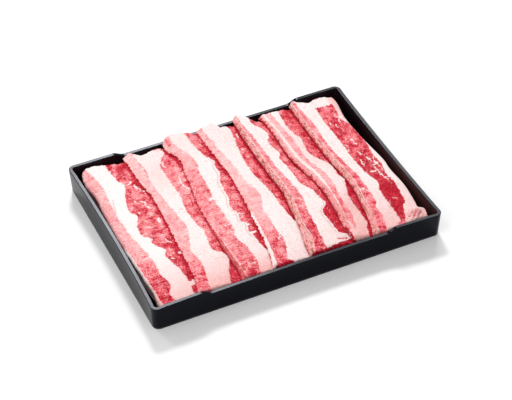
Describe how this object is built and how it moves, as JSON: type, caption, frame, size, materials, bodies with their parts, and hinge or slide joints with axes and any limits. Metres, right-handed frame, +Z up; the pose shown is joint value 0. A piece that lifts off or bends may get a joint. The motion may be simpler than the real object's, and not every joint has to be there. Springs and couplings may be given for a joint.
{
  "type": "sliced beef brisket pack",
  "caption": "Raw beef brisket slices with bands of fat, laid like roof tiles in a low black plastic tray with lowered long sides.",
  "frame": {"origin": "middle of the tray's underside, on the surface it stands on", "axes": "+X along the tray's long side to the right, +Y from its front to its back, +Z up"},
  "size_m": [0.25, 0.185, 0.0258],
  "materials": {
    "black_plastic": "smooth black plastic with a soft sheen",
    "raw_beef": "moist raw beef, white fat beside pink and red lean"
  },
  "bodies": {
    "root": {"tray": "black_plastic", "slice_1": "raw_beef", "slice_2": "raw_beef", "slice_3": "raw_beef", "slice_4": "raw_beef", "slice_5": "raw_beef", "slice_6": "raw_beef", "slice_7": "raw_beef"}
  },
  "joints": []
}
